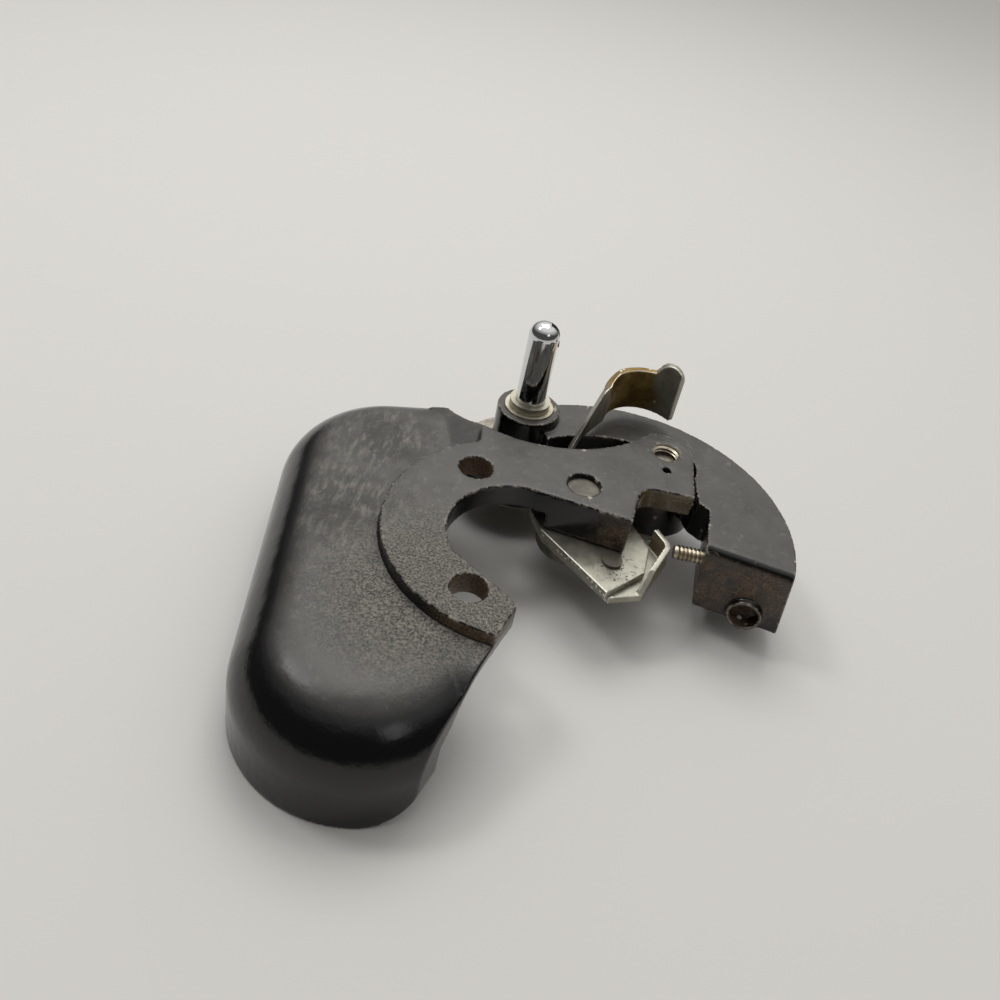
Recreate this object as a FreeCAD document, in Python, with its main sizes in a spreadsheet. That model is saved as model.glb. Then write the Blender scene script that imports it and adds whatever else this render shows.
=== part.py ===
# Bobbin winder on the belt guard of a domestic sewing machine.
# Millimetres. The origin is the centre of the mounting boss on its flat face, which lies on the
# machine. +Z is that face's normal, the way the bobbin spindle points. +X runs from the guard's
# skirt towards the winder frame, and +Y towards the spindle.
import FreeCAD, Part
import math
import os
import Sketcher
from FreeCAD import Placement, Rotation, Vector

os.makedirs("parts", exist_ok=True)
doc = FreeCAD.newDocument("bobbin_winder")

DRIVING = {
    # guard bracket: heights are depths below the boss face
    "boss_radius": 25.4,
    "cover_top": 2.4,
    "plate_under": 4.7,
    "skirt_depth": 23.0,
    "wall": 2.7,
    "shoulder_round": 12.0,
    "skirt_flare": 0.6,
    "rim_corner": 6.5,
    "front_radius": 20.7,
    "corner_radius": 21.0,
    "far_reach": 45.3,
    "cutout_radius": 12.55,
    "tip_right": 29.8,
    "tip_radius": 6.5,
    "notch_far": 18.7,
    "notch_round": 3.5,
    "pillar_under": 8.0,
    "pillar_far": 20.0,
    "pulley_clear_radius": 26.0,
    "bolt_circle": 18.1,
    "screw_hole_radius": 3.1,
    "pivot_x": 24.4,
    "pivot_y": 31.3,
    "thread_radius": 2.65,
    "leg_hole_radius": 0.75,
    # winder frame
    "frame_top": 3.0,
    "frame_under": 11.0,
    "arm_outer": 34.1,
    "arm_inner": 23.4,
    "block_under": 17.4,
    "block_chamfer": 1.8,
    "block_lean": 1.4,
    "hub_radius": 8.6,
    "hub_top": 5.2,
    "hub_floor": 9.8,
    "hub_under": 15.0,
    "counterbore_radius": 6.8,
    "tip_gap": 0.6,
    "frame_swing": 6.0,
    "collar_radius": 3.3,
    "collar_proud": 1.3,
    "collar_depth": 14.8,
    "blind_radius": 2.7,
    "blind_depth": 2.6,
    # spindle, bushes, pulley
    "spindle_x": -4.0,
    "spindle_y": 38.2,
    "spindle_radius": 3.02,
    "spindle_tip": 18.6,
    "spindle_dome": 2.8,
    "journal_radius": 2.5,
    "spindle_slot": 1.25,
    "slot_foot": 12.6,
    "slot_depth": 2.1,
    "retainer_proud": 0.15,
    "shoulder_radius": 4.1,
    "shoulder_top": 1.0,
    "spindle_boss_radius": 6.4,
    "spindle_boss_top": 0.8,
    "spindle_boss_under": 11.6,
    "bush_wall": 2.1,
    "bush_lip": 0.3,
    "bush_flange": 0.3,
    "bush_length": 4.2,
    "running_gap": 0.04,
    "face_gap": 0.1,
    "thrust_thick": 0.4,
    "thrust_radius": 5.6,
    "pulley_radius": 12.2,
    "groove_radius": 9.8,
    "pulley_flange": 0.75,
    "pulley_hub_radius": 5.0,
    "ring_width": 4.0,
    "ring_radius": 13.4,
    "ring_round": 0.9,
    "lowest": 23.0,
    "pulley_washer_thick": 1.0,
    "pulley_washer_radius": 4.8,
    "pulley_screw_head": 2.8,
    "pulley_screw_head_radius": 3.4,
    "pulley_screw_radius": 1.5,
    "pulley_screw_length": 7.0,
    "screw_slot": 0.9,
    "screw_slot_depth": 1.0,
    "head_round": 0.5,
    # latch
    "latch_washer_thick": 0.25,
    "lever_gap": 0.05,
    "sheet": 1.5,
    "finger_thick": 1.5,
    "finger_radius": 8.4,
    "flange_thick": 1.1,
    "flange_top": 5.8,
    "flange_bend": 3.0,
    "pin_radius": 3.05,
    "pin_fit": 0.05,
    "pin_recess": 1.1,
    "pin_head_radius": 6.55,
    "pin_head": 4.0,
    "pin_head_round": 1.2,
    "rivet_radius": 1.5,
    "rivet_head_radius": 1.9,
    "rivet_head": 0.6,
    "stop_screw_radius": 1.5,
    "stop_screw_tip": 27.6,
    "stop_screw_y": 11.2,
    "stop_screw_depth": 7.6,
    "stop_screw_length": 14.0,
    # pivot
    "pivot_radius": 3.4,
    "frame_bush_wall": 0.8,
    "frame_bush_proud": 0.2,
    "pivot_end": 2.2,
    "pivot_washer_thick": 0.6,
    "pivot_washer_radius": 6.4,
    "pivot_head_radius": 6.0,
    "pivot_head": 2.6,
    "wire_radius": 0.45,
    "spring_radius": 5.8,
    "spring_pitch": 1.4,
}

# Sizes that follow from the driving ones. Radii are plain; levels are heights above the boss face.
FOLLOWING = {
    "thread_hole_radius": "=thread_radius + running_gap + running_gap",
    "pin_hole_radius": "=pin_radius + pin_fit",
    "journal_bore": "=journal_radius + running_gap",
    "bush_outer": "=journal_bore + bush_wall",
    "bush_bore": "=bush_outer + running_gap",
    "bush_lip_radius": "=bush_outer + bush_lip",
    "upper_bush_face": "=-spindle_boss_top + bush_flange",
    "upper_bush_end": "=-spindle_boss_top - bush_length",
    "shoulder_under": "=upper_bush_face + face_gap",
    "boss_face": "=-spindle_boss_top",
    "boss_under": "=-spindle_boss_under",
    "lower_bush_face": "=boss_under - bush_flange",
    "lower_bush_end": "=boss_under + bush_length",
    "thrust_face": "=lower_bush_face - face_gap",
    "pulley_face": "=thrust_face - thrust_thick",
    "groove_top": "=pulley_face - pulley_flange",
    "groove_under": "=groove_top - ring_width",
    "pulley_under": "=groove_under - pulley_flange",
    "ring_inner": "=groove_radius + running_gap",
    "object_under": "=-lowest",
    "pulley_screw_face": "=object_under + pulley_screw_head",
    "spindle_under": "=pulley_screw_face + pulley_washer_thick",
    "pulley_screw_end": "=spindle_under + pulley_screw_length",
    "spindle_bore_end": "=pulley_screw_end + 1",
    "spindle_bore_radius": "=pulley_screw_radius + running_gap",
    "pillar_face": "=-pillar_under",
    "latch_washer_face": "=pillar_face - latch_washer_thick",
    "leaf_face": "=latch_washer_face - lever_gap",
    "cam_face": "=leaf_face - sheet",
    "cam_under": "=cam_face - sheet",
    "pin_head_face": "=cam_under - face_gap",
    "pin_under": "=pin_head_face - pin_head",
    "pin_face": "=-pin_recess",
    "lever_bore": "=pin_radius + lever_gap + running_gap",
    "latch_washer_radius": "=pin_head_radius - 1",
    "rivet_face": "=leaf_face + rivet_head",
    "rivet_under": "=cam_under - rivet_head",
    "rivet_hole": "=rivet_radius + running_gap",
    "plate_face": "=-plate_under",
    "pivot_end_face": "=-pivot_end",
    "hub_face": "=-hub_under",
    "hub_floor_face": "=-hub_floor",
    "frame_bush_bore": "=pivot_radius + running_gap",
    "frame_bush_outer": "=frame_bush_bore + frame_bush_wall",
    "hub_bore": "=frame_bush_outer + running_gap",
    "frame_bush_under": "=hub_face - frame_bush_proud",
    "pivot_washer_face": "=frame_bush_under - face_gap",
    "pivot_head_face": "=pivot_washer_face - pivot_washer_thick",
    "pivot_under": "=pivot_head_face - pivot_head",
    "stop_screw_hole": "=stop_screw_radius + running_gap",
}
sizes = doc.addObject("Spreadsheet::Sheet", "Sizes")
for row, (alias, content) in enumerate({**DRIVING, **FOLLOWING}.items(), start=1):
    sizes.set(f"A{row}", alias)
    sizes.set(f"B{row}", str(content))
    sizes.setAlias(f"B{row}", alias)
doc.recompute()


def size(alias):
    """A cell of the sheet as a number, or nought."""
    return 0.0 if alias == "0" else float(sizes.get(alias))


def polar(radius, degrees, centre=(0.0, 0.0)):
    """The plan point at a radius and an angle about a centre."""
    angle = math.radians(degrees)
    return (centre[0] + radius * math.cos(angle), centre[1] + radius * math.sin(angle))


# Where things stand in plan
SPINDLE = ("spindle_x", "spindle_y")
PIVOT = (size("pivot_x"), size("pivot_y"))
LATCH_ANGLE = 60.6
LATCH = polar(size("bolt_circle"), LATCH_ANGLE)
SCREW_ANGLES = (128.7, -115.3)
FRONT_CENTRE = (-21.3, -27.3)
LEFT_HEADING = 97.5
FAR_HEADING = 15.0
CUTOUT_CENTRE = (-1.3, -1.4)
CUTOUT_ANGLES = (84.0, 216.8)
LUG = (-1.0, -16.5)
ARM_CORNER = (18.3, 8.2)
NOTCH_LEFT = 19.2
ARM_LEFT = -12.0
PILLAR_LEFT = 3.0
CUT_TOP_INSET = 1.9
TIP_CENTRE = (size("tip_right") - size("tip_radius"), 30.6)
CLEARANCE_CENTRE = (-0.7, 51.3)
ROOT_TOE = (-20.0, 30.0)
ROOT_HEADING = -72.0
ROOT_RUN = 7.0
ARM_CENTRE = (15.4, 13.1)
RIVET = (16.4, 5.6)
CUT_TOP = (0.4, -18.3)
CUT_LOW = (-9.0, -45.0)


# Turned pieces

def origin_plane(body, role):
    """One of a body's own origin planes."""
    return [plane for plane in body.Origin.OriginFeatures if plane.Role == role][0]


def attached_sketch(body, role, name):
    """An empty sketch on one of the body's origin planes."""
    sketch = body.newObject("Sketcher::SketchObject", body.Label + name)
    sketch.AttachmentSupport = [(origin_plane(body, role), "")]
    sketch.MapMode = "FlatFace"
    return sketch


def closed_polygon(sketch, corners):
    """Draw a closed polygon with its corners tied together."""
    count = len(corners)
    for index in range(count):
        start = Vector(*corners[index], 0)
        end = Vector(*corners[(index + 1) % count], 0)
        sketch.addGeometry(Part.LineSegment(start, end), False)
    for index in range(count):
        sketch.addConstraint(Sketcher.Constraint("Coincident", index, 2, (index + 1) % count, 1))


def tie(sketch, line, across, up):
    """Tie a line's first point to two cells of the sheet, across and up from the origin."""
    for kind, axis, alias in (("DistanceX", -2, across), ("DistanceY", -1, up)):
        if alias == "0":
            sketch.addConstraint(Sketcher.Constraint("PointOnObject", line, 1, axis))
            continue
        index = sketch.addConstraint(Sketcher.Constraint(kind, -1, 1, line, 1, size(alias)))
        sketch.setExpression(f"Constraints[{index}]", "Sizes." + alias)


def turned(label, profile, centre):
    """A solid of revolution about a Z axis. The profile goes round the half section and names a
    radius and a level for each corner."""
    body = doc.addObject("PartDesign::Body", label)
    body.Label = label
    sketch = attached_sketch(body, "XZ_Plane", "_section")
    closed_polygon(sketch, [(size(radius), size(level)) for radius, level in profile])
    for line, (radius, level) in enumerate(profile):
        tie(sketch, line, radius, level)
    turning = body.newObject("PartDesign::Revolution", label + "_turning")
    turning.Profile = sketch
    turning.ReferenceAxis = (sketch, ["V_Axis"])
    turning.Angle = 360.0
    body.Tip = turning
    if isinstance(centre[0], str):
        body.setExpression("Placement.Base.x", "Sizes." + centre[0])
        body.setExpression("Placement.Base.y", "Sizes." + centre[1])
    else:
        body.Placement = Placement(Vector(centre[0], centre[1], 0), Rotation())
    doc.recompute()
    return body


def rounded(body, radius, rims):
    """Round a turned body's circles, each named by its radius and its level."""
    base = body.Tip
    names = []
    for number, edge in enumerate(base.Shape.Edges, start=1):
        if not isinstance(edge.Curve, Part.Circle):
            continue
        for rim_radius, level in rims:
            same_radius = abs(edge.Curve.Radius - size(rim_radius)) < 1e-5
            if same_radius and abs(edge.Curve.Center.z - size(level)) < 1e-5:
                names.append(f"Edge{number}")
    rounding = body.newObject("PartDesign::Fillet", body.Label + "_rounding")
    rounding.Base = (base, names)
    rounding.Radius = size(radius)
    rounding.setExpression("Radius", "Sizes." + radius)
    body.Tip = rounding
    doc.recompute()


def slotted(body, half_length, level, depth, upwards):
    """Cut a screwdriver slot across a turned body's end face."""
    sketch = attached_sketch(body, "XY_Plane", "_slot")
    sketch.AttachmentOffset = Placement(Vector(0, 0, size(level)), Rotation())
    sketch.setExpression("AttachmentOffset.Base.z", "Sizes." + level)
    half_width = size("screw_slot") / 2
    reach = size(half_length) + 1
    corners = [(-reach, -half_width), (reach, -half_width), (reach, half_width), (-reach, half_width)]
    closed_polygon(sketch, corners)
    whole = body.Shape.Volume
    pocket = body.newObject("PartDesign::Pocket", body.Label + "_slotting")
    pocket.Profile = sketch
    pocket.Length = size(depth)
    pocket.setExpression("Length", "Sizes." + depth)
    pocket.Reversed = upwards
    body.Tip = pocket
    doc.recompute()
    if body.Shape.Volume >= whole:
        raise RuntimeError("the slot of " + body.Label + " misses it")


def sleeve(label, bore, outer, low, high, centre):
    """A plain tube or washer."""
    return turned(label, [(bore, low), (outer, low), (outer, high), (bore, high)], centre)


# The spindle and what turns with it
spindle = turned(
    "bobbin_spindle",
    [
        ("spindle_bore_radius", "spindle_under"),
        ("journal_radius", "spindle_under"),
        ("journal_radius", "shoulder_under"),
        ("shoulder_radius", "shoulder_under"),
        ("shoulder_radius", "shoulder_top"),
        ("spindle_radius", "shoulder_top"),
        ("spindle_radius", "spindle_tip"),
        ("0", "spindle_tip"),
        ("0", "spindle_bore_end"),
        ("spindle_bore_radius", "spindle_bore_end"),
    ],
    SPINDLE,
)
rounded(spindle, "spindle_dome", [("spindle_radius", "spindle_tip")])


def spindle_slot():
    """Cut the slot for the retainer down the side of the spindle, from the tip."""
    sketch = attached_sketch(spindle, "XZ_Plane", "_slot")
    inside = size("spindle_radius") - size("slot_depth")
    outside = size("spindle_radius") + 1
    above = size("spindle_tip") + 1
    foot = size("slot_foot")
    closed_polygon(sketch, [(inside, foot), (outside, foot), (outside, above), (inside, above)])
    whole = spindle.Shape.Volume
    pocket = spindle.newObject("PartDesign::Pocket", "bobbin_spindle_slotting")
    pocket.Profile = sketch
    pocket.SideType = "Symmetric"
    pocket.Length = size("spindle_slot")
    pocket.setExpression("Length", "Sizes.spindle_slot")
    spindle.Tip = pocket
    doc.recompute()
    if spindle.Shape.Volume >= whole:
        raise RuntimeError("the spindle's slot misses it")


spindle_slot()


def bobbin_retainer():
    """The bent spring leaf in the spindle's slot, with the nub that grips the bobbin."""
    body = doc.addObject("PartDesign::Body", "bobbin_retainer")
    body.Label = "bobbin_retainer"
    sketch = attached_sketch(body, "XZ_Plane", "_side")
    back = size("spindle_radius") - size("slot_depth")
    surface = size("spindle_radius")
    foot = size("slot_foot")
    nub = surface + size("retainer_proud")
    side = [
        (back, foot),
        (back + 0.5, foot),
        (surface - 0.6, foot + 1.2),
        (nub, foot + 1.7),
        (nub, foot + 2.3),
        (surface - 0.5, foot + 3.4),
        (back + 0.5, foot + 4.4),
        (back, foot + 4.4),
    ]
    closed_polygon(sketch, side)
    pad = body.newObject("PartDesign::Pad", "bobbin_retainer_leaf")
    pad.Profile = sketch
    pad.SideType = "Symmetric"
    pad.Length = size("spindle_slot") - 2 * size("face_gap")
    pad.setExpression("Length", "Sizes.spindle_slot - 2 * Sizes.face_gap")
    body.setExpression("Placement.Base.x", "Sizes.spindle_x")
    body.setExpression("Placement.Base.y", "Sizes.spindle_y")
    doc.recompute()


bobbin_retainer()
sleeve("thrust_washer", "journal_bore", "thrust_radius", "pulley_face", "thrust_face", SPINDLE)
pulley = turned(
    "ring_pulley",
    [
        ("journal_bore", "spindle_under"),
        ("pulley_hub_radius", "spindle_under"),
        ("pulley_hub_radius", "pulley_under"),
        ("pulley_radius", "pulley_under"),
        ("pulley_radius", "groove_under"),
        ("groove_radius", "groove_under"),
        ("groove_radius", "groove_top"),
        ("pulley_radius", "groove_top"),
        ("pulley_radius", "pulley_face"),
        ("journal_bore", "pulley_face"),
    ],
    SPINDLE,
)
ring = sleeve("rubber_ring", "ring_inner", "ring_radius", "groove_under", "groove_top", SPINDLE)
rounded(ring, "ring_round", [("ring_radius", "groove_under"), ("ring_radius", "groove_top")])
sleeve(
    "pulley_washer",
    "spindle_bore_radius",
    "pulley_washer_radius",
    "pulley_screw_face",
    "spindle_under",
    SPINDLE,
)
pulley_screw = turned(
    "pulley_screw",
    [
        ("0", "object_under"),
        ("pulley_screw_head_radius", "object_under"),
        ("pulley_screw_head_radius", "pulley_screw_face"),
        ("pulley_screw_radius", "pulley_screw_face"),
        ("pulley_screw_radius", "pulley_screw_end"),
        ("0", "pulley_screw_end"),
    ],
    SPINDLE,
)
rounded(pulley_screw, "head_round", [("pulley_screw_head_radius", "object_under")])
slotted(pulley_screw, "pulley_screw_head_radius", "object_under", "screw_slot_depth", True)

# The spindle's bushes, in the frame
turned(
    "upper_bushing",
    [
        ("journal_bore", "upper_bush_end"),
        ("bush_outer", "upper_bush_end"),
        ("bush_outer", "boss_face"),
        ("bush_lip_radius", "boss_face"),
        ("bush_lip_radius", "upper_bush_face"),
        ("journal_bore", "upper_bush_face"),
    ],
    SPINDLE,
)
turned(
    "lower_bushing",
    [
        ("journal_bore", "lower_bush_face"),
        ("bush_lip_radius", "lower_bush_face"),
        ("bush_lip_radius", "boss_under"),
        ("bush_outer", "boss_under"),
        ("bush_outer", "lower_bush_end"),
        ("journal_bore", "lower_bush_end"),
    ],
    SPINDLE,
)

# The latch's pin, washer and rivet
latch_pin = turned(
    "latch_pin",
    [
        ("0", "pin_under"),
        ("pin_head_radius", "pin_under"),
        ("pin_head_radius", "pin_head_face"),
        ("pin_radius", "pin_head_face"),
        ("pin_radius", "pin_face"),
        ("0", "pin_face"),
    ],
    LATCH,
)
rounded(latch_pin, "pin_head_round", [("pin_head_radius", "pin_under")])
slotted(latch_pin, "pin_head_radius", "pin_under", "screw_slot_depth", True)
sleeve(
    "latch_washer",
    "pin_hole_radius",
    "latch_washer_radius",
    "latch_washer_face",
    "pillar_face",
    LATCH,
)
rivet = turned(
    "lever_rivet",
    [
        ("0", "rivet_under"),
        ("rivet_head_radius", "rivet_under"),
        ("rivet_head_radius", "cam_under"),
        ("rivet_radius", "cam_under"),
        ("rivet_radius", "leaf_face"),
        ("rivet_head_radius", "leaf_face"),
        ("rivet_head_radius", "rivet_face"),
        ("0", "rivet_face"),
    ],
    RIVET,
)

# The frame's pivot
sleeve(
    "frame_bushing",
    "frame_bush_bore",
    "frame_bush_outer",
    "frame_bush_under",
    "hub_floor_face",
    PIVOT,
)
sleeve(
    "pivot_washer",
    "frame_bush_bore",
    "pivot_washer_radius",
    "pivot_head_face",
    "pivot_washer_face",
    PIVOT,
)
pivot_screw = turned(
    "pivot_screw",
    [
        ("0", "pivot_under"),
        ("pivot_head_radius", "pivot_under"),
        ("pivot_head_radius", "pivot_head_face"),
        ("pivot_radius", "pivot_head_face"),
        ("pivot_radius", "plate_face"),
        ("thread_radius", "plate_face"),
        ("thread_radius", "pivot_end_face"),
        ("0", "pivot_end_face"),
    ],
    PIVOT,
)
rounded(pivot_screw, "head_round", [("pivot_head_radius", "pivot_under")])
slotted(pivot_screw, "pivot_head_radius", "pivot_under", "screw_slot_depth", True)


def stop_screw():
    """The grub screw in the frame's end block, turned to lie along X."""
    body = doc.addObject("PartDesign::Body", "stop_screw")
    body.Label = "stop_screw"
    sketch = attached_sketch(body, "XZ_Plane", "_section")
    radius = size("stop_screw_radius")
    length = size("stop_screw_length")
    cup = radius * 0.55
    taper = radius * 0.6
    section = [(0.0, 0.0), (cup, 0.0), (radius, taper), (radius, length), (0.0, length)]
    closed_polygon(sketch, section)
    turning = body.newObject("PartDesign::Revolution", "stop_screw_turning")
    turning.Profile = sketch
    turning.ReferenceAxis = (sketch, ["V_Axis"])
    turning.Angle = 360.0
    body.Tip = turning
    body.Placement = Placement(Vector(0, 0, 0), Rotation(Vector(0, 1, 0), 90))
    body.setExpression("Placement.Base.x", "Sizes.stop_screw_tip")
    body.setExpression("Placement.Base.y", "Sizes.stop_screw_y")
    body.setExpression("Placement.Base.z", "-Sizes.stop_screw_depth")
    doc.recompute()


stop_screw()


# Castings and sheet pieces, from plan outlines

def flat(point, level=0.0):
    return Vector(point[0], point[1], level)


def line(start, end, level=0.0):
    return Part.LineSegment(flat(start, level), flat(end, level)).toShape()


def arc(centre, radius, start, end, level=0.0):
    """An arc from one angle to another, by way of the angle between them."""
    points = [polar(radius, angle, centre) for angle in (start, (start + end) / 2, end)]
    return Part.Arc(*[flat(point, level) for point in points]).toShape()


def chain(*points):
    """Straight edges from point to point."""
    return [line(start, end) for start, end in zip(points, points[1:])]


def face(edges):
    return Part.Face(Part.Wire(edges))


def polygon(*points):
    return face(chain(*points, points[0]))


def slab(plan, low, high):
    """A plan face raised to fill two levels."""
    lifted = plan.copy()
    lifted.translate(Vector(0, 0, low))
    return lifted.extrude(Vector(0, 0, high - low))


def post(centre, radius, low, high):
    return Part.makeCylinder(radius, high - low, flat(centre, low))


def angle_of(point, centre):
    return math.degrees(math.atan2(point[1] - centre[1], point[0] - centre[0]))


def crossing(first_angle, first_reach, second_angle, second_reach):
    """Where two lines cross, each named by its normal's angle and its distance from the origin."""
    first = math.radians(first_angle)
    second = math.radians(second_angle)
    spread = math.sin(second - first)
    across = (first_reach * math.sin(second) - second_reach * math.sin(first)) / spread
    up = (second_reach * math.cos(first) - first_reach * math.cos(second)) / spread
    return (across, up)


def reach_of(point, angle):
    """How far a point is from the origin along a direction."""
    return point[0] * math.cos(math.radians(angle)) + point[1] * math.sin(math.radians(angle))


def finished(label, shape):
    """Put a solid in the document as a sub-part."""
    feature = doc.addObject("Part::Feature", label)
    feature.Label = label
    feature.Shape = shape.removeSplitter()
    feature.Placement = Placement()
    return feature


def cover_wire(grow, level, right):
    """The guard's outline, grown outwards, with a straight side far out on the right."""
    left_angle = LEFT_HEADING + 90.0
    far_angle = FAR_HEADING + 90.0
    left_reach = reach_of(FRONT_CENTRE, left_angle) + size("front_radius") - size("corner_radius")
    corner_centre = crossing(left_angle, left_reach, far_angle, size("far_reach") - size("corner_radius"))
    front = size("front_radius") + grow
    corner = size("corner_radius") + grow
    front_end = polar(front, 330.0, FRONT_CENTRE)
    front_start = polar(front, left_angle, FRONT_CENTRE)
    corner_start = polar(corner, left_angle, corner_centre)
    corner_end = polar(corner, far_angle, corner_centre)
    run = (right - corner_end[0]) / math.cos(math.radians(FAR_HEADING))
    far_end = polar(run, FAR_HEADING, corner_end)
    edges = [
        line((right, front_end[1]), front_end, level),
        arc(FRONT_CENTRE, front, 330.0, left_angle, level),
        line(front_start, corner_start, level),
        arc(corner_centre, corner, left_angle, far_angle, level),
        line(corner_end, far_end, level),
        line(far_end, (right, front_end[1]), level),
    ]
    return Part.Wire(edges)


def cover_block(grow, top, bottom, right, rounding):
    """A block with the guard's outline, flared to the rim, its top rounded over."""
    lower = cover_wire(grow + size("skirt_flare"), bottom, right)
    upper = cover_wire(grow, top, right)
    block = Part.makeLoft([lower, upper], True, True)
    rims = []
    for edge in block.Edges:
        box = edge.BoundBox
        at_top = abs(box.ZMin - top) < 1e-6 and abs(box.ZMax - top) < 1e-6
        if at_top and box.XMin < 0 and box.XMax < right + 1e-6 and edge.Length > 5:
            rims.append(edge)
    rims = [edge for edge in rims if edge.BoundBox.XLength > 1e-3]
    return block.makeFillet(rounding, rims)


def cut_line(low_y):
    """The point of the guard's cut right side at a Y."""
    lean = (CUT_LOW[0] - CUT_TOP[0]) / (CUT_LOW[1] - CUT_TOP[1])
    return (CUT_TOP[0] + lean * (low_y - CUT_TOP[1]), low_y)


def cutout_ends():
    """Where the C-shaped opening leaves the arm's front edge and the lug by the near screw hole."""
    return [polar(size("cutout_radius"), angle, CUTOUT_CENTRE) for angle in CUTOUT_ANGLES]


def plate_plan():
    """The raised plan of the guard: the boss, the arm, its notch and the pivot tip."""
    radius = size("boss_radius")
    clear = size("pulley_clear_radius")
    tip = size("tip_radius")
    right = size("tip_right")
    far = size("notch_far")
    corner = size("notch_round")
    low = cut_line(-math.sqrt(radius**2 - CUT_TOP_INSET**2))
    low_angle = angle_of(low, (0, 0)) + 360.0
    low = polar(radius, low_angle)
    top_angle = math.degrees(math.acos(ARM_LEFT / radius))
    strip_rise = math.sqrt(clear**2 - (ARM_LEFT - CLEARANCE_CENTRE[0]) ** 2)
    strip = (ARM_LEFT, CLEARANCE_CENTRE[1] - strip_rise)
    strip_angle = angle_of(strip, CLEARANCE_CENTRE) + 360.0
    facing = angle_of(TIP_CENTRE, CLEARANCE_CENTRE)
    notch_corner = (NOTCH_LEFT + corner, far - corner)
    arm_start, lug_start = cutout_ends()
    arm_angle, lug_angle = CUTOUT_ANGLES
    edges = [
        arc((0, 0), radius, low_angle, top_angle),
        line(polar(radius, top_angle), strip),
        arc(CLEARANCE_CENTRE, clear, strip_angle, facing + 360.0),
        line(polar(clear, facing, CLEARANCE_CENTRE), polar(tip, facing + 180.0, TIP_CENTRE)),
        arc(TIP_CENTRE, tip, facing + 180.0, 0.0),
        line((right, TIP_CENTRE[1]), (right, far)),
        line((right, far), (notch_corner[0], far)),
        arc(notch_corner, corner, 90.0, 180.0),
        line((NOTCH_LEFT, notch_corner[1]), ARM_CORNER),
        line(ARM_CORNER, arm_start),
        arc(CUTOUT_CENTRE, size("cutout_radius"), arm_angle, lug_angle),
        line(lug_start, LUG),
        line(LUG, CUT_TOP),
        line(CUT_TOP, low),
    ]
    return face(edges)


def pillar_plan():
    """The pillar under the arm, flush with the arm's front edge."""
    arm_start = cutout_ends()[0]
    share = 1 - PILLAR_LEFT / ARM_CORNER[0]
    rise = (arm_start[1] - ARM_CORNER[1]) * share
    left = (PILLAR_LEFT, ARM_CORNER[1] + rise)
    far = size("pillar_far")
    return polygon(left, ARM_CORNER, (NOTCH_LEFT, 15.0), (NOTCH_LEFT, far), (PILLAR_LEFT, far))


def guard_bracket():
    """The cast guard: rounded cover with its skirt, and the boss and arm that stand proud of it."""
    rim = -size("skirt_depth")
    under = -size("plate_under")
    cover = -size("cover_top")
    wall = size("wall")
    outer = cover_block(0.0, cover, rim, 8.0, size("shoulder_round"))
    inner = cover_block(-wall, under, rim - 1.0, 30.0, size("shoulder_round") - wall)
    root = arm_root(cover).common(cover_block(-wall, 0.0, rim, 8.0, size("shoulder_round")))
    shell = outer.fuse(root).cut(inner)
    beyond = 90.0
    foot = cut_line(-beyond)
    right_side = polygon(CUT_TOP, (CUT_TOP[0], beyond), (beyond, beyond), (beyond, -beyond), foot)
    shell = shell.cut(slab(right_side, rim - 2, 2))
    shell = shell.cut(rim_corner_tool())
    plate = slab(plate_plan(), under, 0.0)
    pillar = slab(pillar_plan(), -size("pillar_under"), under)
    body = shell.fuse([plate, pillar])
    body = body.cut(post(CLEARANCE_CENTRE, size("pulley_clear_radius"), rim - 2, 2))
    window = slab(cutout_plan(), rim, 2)
    body = body.cut(window)
    for angle in SCREW_ANGLES:
        body = body.cut(post(polar(size("bolt_circle"), angle), size("screw_hole_radius"), rim, 2))
    body = body.cut(post(LATCH, size("pin_hole_radius"), rim, 2))
    body = body.cut(post(PIVOT, size("thread_hole_radius"), rim, 2))
    leg = (PIVOT[0], PIVOT[1] - size("spring_radius"))
    body = body.cut(post(leg, size("leg_hole_radius"), rim, 2))
    return finished("guard_bracket", body)


def arm_root(cover):
    """The slope on which the cover rises into the arm at its far left."""
    uphill = ROOT_HEADING + 90.0
    depth = -size("shoulder_round")
    below, beyond = -2.0, 12.0
    toe = cover - cover * below / ROOT_RUN
    section = [(below, toe), (ROOT_RUN, 0.0), (beyond, 0.0), (beyond, depth), (below, depth)]
    corners = [flat(polar(run, uphill, ROOT_TOE), level) for run, level in section]
    edges = [Part.LineSegment(a, b).toShape() for a, b in zip(corners, corners[1:] + corners[:1])]
    along = flat(polar(1.0, ROOT_HEADING))
    slope = face(edges).extrude(along * 40)
    slope.translate(along * -16)
    return slope


def cutout_plan():
    """The C-shaped opening of the boss, through the cover too."""
    arm_start, lug_start = cutout_ends()
    right = CUT_TOP[0] + 1.6
    edges = [arc(CUTOUT_CENTRE, size("cutout_radius"), *CUTOUT_ANGLES)]
    edges += chain(lug_start, LUG, CUT_TOP, (right, CUT_TOP[1]), (right, arm_start[1] - 0.32), arm_start)
    return face(edges)


def rim_corner_tool():
    """Rounds the rim's corner where the cut end of the skirt meets the rim."""
    radius = size("rim_corner")
    rim = -size("skirt_depth")
    down = Vector(CUT_LOW[0] - CUT_TOP[0], CUT_LOW[1] - CUT_TOP[1], 0).normalize()
    along = Vector(-down.y, down.x, 0)
    start = flat(CUT_LOW) - down * 30

    def at(shift, level):
        return start + along * shift + Vector(0, 0, level)

    middle = math.sqrt(0.5) * radius
    bend = [at(-radius, rim), at(middle - radius, rim + radius - middle), at(0, rim + radius)]
    beyond = [bend[2], at(6, rim + radius), at(6, rim - 2), at(-radius, rim - 2), bend[0]]
    edges = [Part.Arc(*bend).toShape()]
    edges += [Part.LineSegment(a, b).toShape() for a, b in zip(beyond, beyond[1:])]
    return face(edges).extrude(down * 60)


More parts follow.
